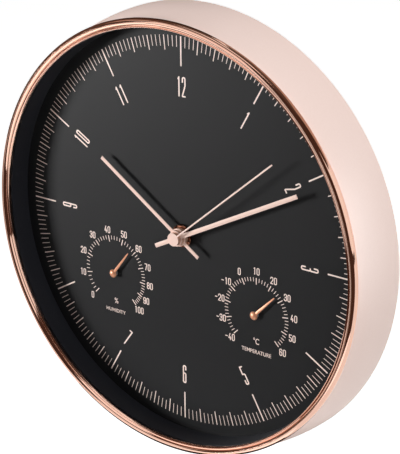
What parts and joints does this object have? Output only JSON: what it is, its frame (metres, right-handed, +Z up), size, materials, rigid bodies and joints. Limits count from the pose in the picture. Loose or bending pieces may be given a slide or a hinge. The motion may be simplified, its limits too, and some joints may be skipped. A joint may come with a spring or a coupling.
{
  "type": "wall clock with thermometer and hygrometer",
  "caption": "Round wall clock with a centre seconds hand, a small hygrometer and a small thermometer set in its dial, a rounded bezel and a flared case, hung by a keyhole plate.",
  "frame": {"origin": "where the dial's axis meets the wall plane, at the back edge of the case", "axes": "+Z up, dial facing -Y, +Y into the wall along the dial's axis, +X to the viewer's right"},
  "size_m": [0.3, 0.042, 0.3],
  "materials": {
    "bezel_metal": "polished rose plating",
    "case_lacquer": "satin rose lacquer",
    "cover_glass": "clear",
    "gasket_rubber": "matt",
    "black_plastic": "matt black",
    "dial_lacquer": "matt charcoal",
    "printed_rose": "matt pale rose ink",
    "hand_metal": "satin pale rose",
    "nut_metal": "polished dark copper",
    "pointer_lacquer": "copper lacquer",
    "brass": "turned",
    "steel": "zinc plated",
    "screw_steel": "blackened",
    "shell_plastic": "fine matt",
    "back_plastic": "fine grained",
    "wheel_plastic": "moulded acetal",
    "knob_plastic": "moulded",
    "soft_iron": "stamped",
    "magnet": "sintered",
    "bobbin_plastic": "moulded",
    "copper_wire": "enamelled",
    "board": "coated",
    "chip_resin": "matt",
    "crystal_can": "drawn can",
    "battery_wrap": "plain grey wrapper",
    "contact_spring": "nickel plated",
    "cup_plastic": "moulded",
    "bimetal": "bright strip",
    "humidity_strip": "coated strip"
  },
  "bodies": {
    "clock": {"bezel_ring": "bezel_metal", "case_side": "case_lacquer", "glass_lens": "cover_glass", "lens_gasket": "gasket_rubber", "inner_ring": "black_plastic", "dial_plate": "dial_lacquer", "minute_track": "printed_rose", "hour_numerals": "printed_rose", "humidity_scale": "printed_rose", "temperature_scale": "printed_rose", "fixing_nut": "nut_metal", "dial_washer": "brass", "rubber_washer": "gasket_rubber", "threaded_bush": "brass", "movement_front_shell": "shell_plastic", "movement_back_shell": "shell_plastic", "battery_cell": "battery_wrap", "positive_contact": "contact_spring", "negative_contact": "contact_spring", "circuit_board": "board", "driver_chip": "chip_resin", "quartz_crystal": "crystal_can", "stator": "soft_iron", "coil_core": "soft_iron", "coil_bobbin": "bobbin_plastic", "coil_winding": "copper_wire", "back_cover": "back_plastic", "back_screws": "screw_steel", "hanger_plate": "steel", "hanger_screws": "screw_steel", "thermometer_cup": "cup_plastic", "thermometer_coil": "bimetal", "hygrometer_cup": "cup_plastic", "hygrometer_coil": "humidity_strip"},
    "seconds": {"second_wheel": "wheel_plastic", "second_hand": "hand_metal"},
    "rotor": {"rotor_pinion": "wheel_plastic", "rotor_magnet": "magnet"},
    "intermediate": {"intermediate_wheel": "wheel_plastic"},
    "third": {"third_wheel": "wheel_plastic"},
    "centre": {"centre_wheel": "wheel_plastic"},
    "minutes": {"minute_arbor": "wheel_plastic", "minute_hand": "hand_metal"},
    "motion": {"minute_wheel": "wheel_plastic", "setting_knob": "knob_plastic"},
    "hours": {"hour_wheel": "wheel_plastic", "hour_hand": "hand_metal"},
    "thermometer_needle": {"thermometer_arbor": "brass", "thermometer_pointer": "pointer_lacquer"},
    "hygrometer_needle": {"hygrometer_arbor": "brass", "hygrometer_pointer": "pointer_lacquer"}
  },
  "joints": [
    {"name": "second_spin", "type": "hinge", "parent": "clock", "child": "seconds", "pos_m": [0, -0.021, 0], "axis": [0, 1, 0], "continuous": true},
    {"name": "rotor_spin", "type": "hinge", "parent": "clock", "child": "rotor", "pos_m": [0.01637, -0.012, 0.0058], "axis": [0, 1, 0], "continuous": true},
    {"name": "intermediate_spin", "type": "hinge", "parent": "clock", "child": "intermediate", "pos_m": [0.01182, -0.009, -0.00208], "axis": [0, 1, 0], "continuous": true},
    {"name": "third_spin", "type": "hinge", "parent": "clock", "child": "third", "pos_m": [-0.0106, -0.012, 0.00612], "axis": [0, 1, 0], "continuous": true},
    {"name": "centre_spin", "type": "hinge", "parent": "clock", "child": "centre", "pos_m": [0, -0.013, 0], "axis": [0, 1, 0], "continuous": true},
    {"name": "minute_spin", "type": "hinge", "parent": "clock", "child": "minutes", "pos_m": [0, -0.021, 0], "axis": [0, 1, 0], "continuous": true},
    {"name": "motion_spin", "type": "hinge", "parent": "clock", "child": "motion", "pos_m": [0, -0.015, 0.012], "axis": [0, 1, 0], "continuous": true},
    {"name": "hour_spin", "type": "hinge", "parent": "clock", "child": "hours", "pos_m": [0, -0.021, 0], "axis": [0, 1, 0], "continuous": true},
    {"name": "thermometer_turn", "type": "hinge", "parent": "clock", "child": "thermometer_needle", "pos_m": [0.0589, -0.021, -0.0405], "axis": [0, 1, 0], "range_deg": [-179.5, 90.5], "stiffness_Nm_per_rad": 0.0001},
    {"name": "hygrometer_turn", "type": "hinge", "parent": "clock", "child": "hygrometer_needle", "pos_m": [-0.0593, -0.021, -0.0401], "axis": [0, 1, 0], "range_deg": [-173, 100], "stiffness_Nm_per_rad": 0.0001}
  ],
  "couplings": [
    {"joint": "rotor_spin", "follows": "second_spin", "ratio": 30},
    {"joint": "intermediate_spin", "follows": "second_spin", "ratio": -5},
    {"joint": "third_spin", "follows": "second_spin", "ratio": -0.13333},
    {"joint": "centre_spin", "follows": "second_spin", "ratio": 0.016667},
    {"joint": "motion_spin", "follows": "minute_spin", "ratio": -0.33333},
    {"joint": "hour_spin", "follows": "minute_spin", "ratio": 0.083333}
  ]
}
